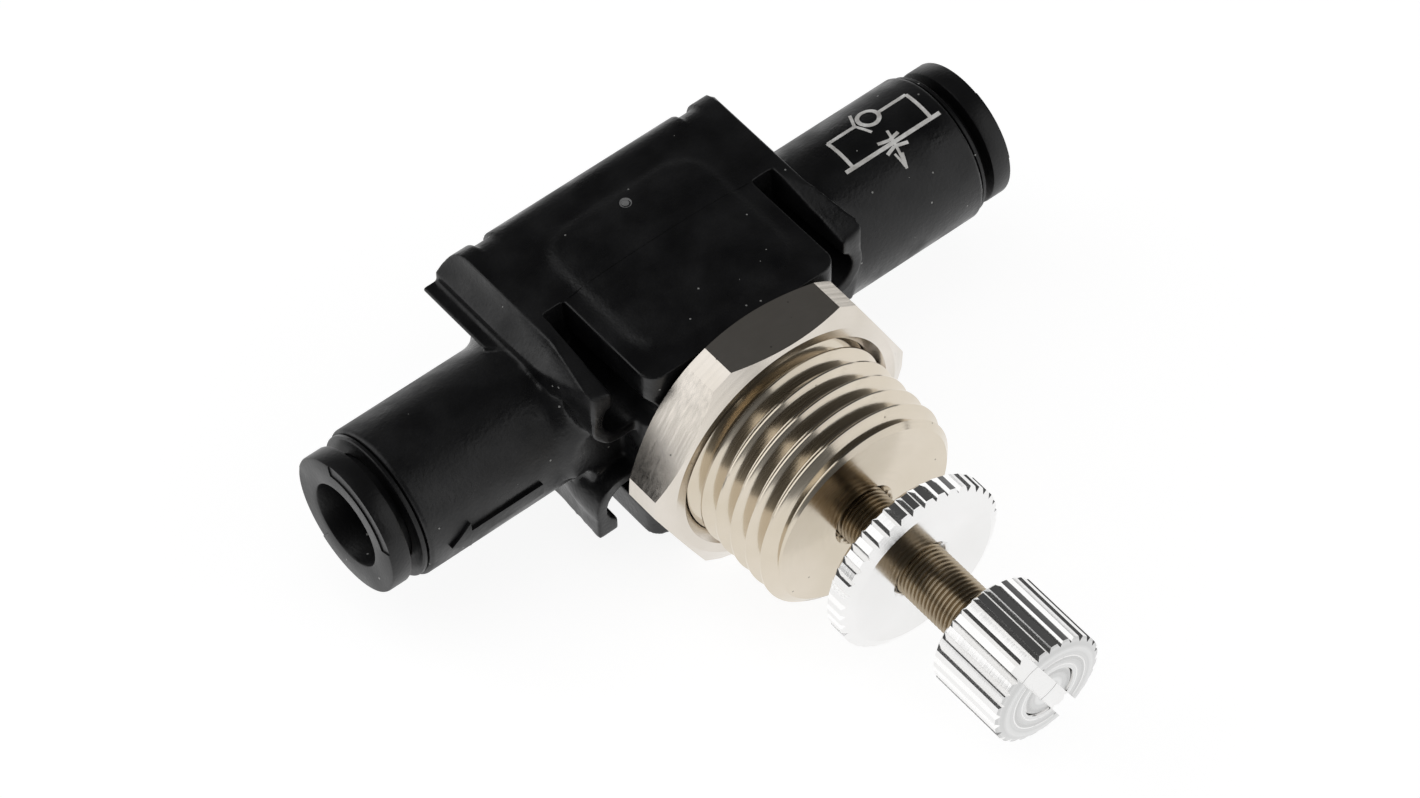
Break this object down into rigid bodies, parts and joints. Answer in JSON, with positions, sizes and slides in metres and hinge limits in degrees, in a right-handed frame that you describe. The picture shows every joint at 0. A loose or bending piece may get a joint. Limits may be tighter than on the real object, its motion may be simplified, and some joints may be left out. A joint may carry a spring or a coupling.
{
  "type": "flow control valve",
  "caption": "in-line one-way flow control valve with push-in tube ports, a threaded panel bushing with its hex nut, and a fluted knob that turns the needle screw in and out",
  "frame": {"origin": "on the stem axis at the panel seat, which is the body's front face", "axes": "-Y points along the stem to the knob, +X runs along the tube ports from left to right, +Z points out of the side with the hood and the domed pad"},
  "size_m": [0.0526, 0.0478, 0.0196],
  "materials": {
    "housing_plastic": "satin black moulded polymer",
    "collet_plastic": "satin black moulded polymer",
    "nickel_plate": "nickel plated, turned",
    "chrome_plate": "bright chrome",
    "screw_brass": "thin dulled plating",
    "cartridge_brass": "turned brass",
    "grip_steel": "stamped stainless steel",
    "spacer_plastic": "natural polymer",
    "seal_rubber": "black nitrile rubber"
  },
  "bodies": {
    "housing": {"body": "housing_plastic", "threaded_bushing": "nickel_plate", "left_retainer_ring": "collet_plastic", "right_retainer_ring": "collet_plastic", "bushing_o_ring": "seal_rubber", "seat_cartridge": "cartridge_brass", "cartridge_o_ring": "seal_rubber", "check_lip_seal": "seal_rubber", "left_grip_ring": "grip_steel", "left_seal_spacer": "spacer_plastic", "left_tube_seal": "seal_rubber", "right_grip_ring": "grip_steel", "right_seal_spacer": "spacer_plastic", "right_tube_seal": "seal_rubber"},
    "left_collet": {"left_collet": "collet_plastic"},
    "right_collet": {"right_collet": "collet_plastic"},
    "screw_carriage": {"screw_o_ring": "seal_rubber"},
    "adjuster": {"adjusting_screw": "screw_brass", "knob": "chrome_plate"},
    "lock_nut": {"lock_nut": "chrome_plate"},
    "panel_nut": {"panel_nut": "nickel_plate"}
  },
  "joints": [
    {"name": "left_collet_press", "type": "slide", "parent": "housing", "child": "left_collet", "axis": [1, 0, 0], "range_m": [0, 0.0007]},
    {"name": "right_collet_press", "type": "slide", "parent": "housing", "child": "right_collet", "axis": [-1, 0, 0], "range_m": [0, 0.0007]},
    {"name": "stem_travel", "type": "slide", "parent": "housing", "child": "screw_carriage", "axis": [0, 1, 0], "range_m": [-0.0015, 0.003]},
    {"name": "knob_turn", "type": "hinge", "parent": "screw_carriage", "child": "adjuster", "pos_m": [0, -0.0268, 0], "axis": [0, 1, 0], "range_deg": [-1543, 3086]},
    {"name": "lock_nut_travel", "type": "slide", "parent": "housing", "child": "lock_nut", "axis": [0, 1, 0], "range_m": [-0.0024, 0.0038]},
    {"name": "panel_nut_travel", "type": "slide", "parent": "housing", "child": "panel_nut", "axis": [0, -1, 0], "range_m": [0, 0.0075]}
  ],
  "couplings": [
    {"joint": "knob_turn", "follows": "stem_travel", "rad_per_m": 17952}
  ]
}
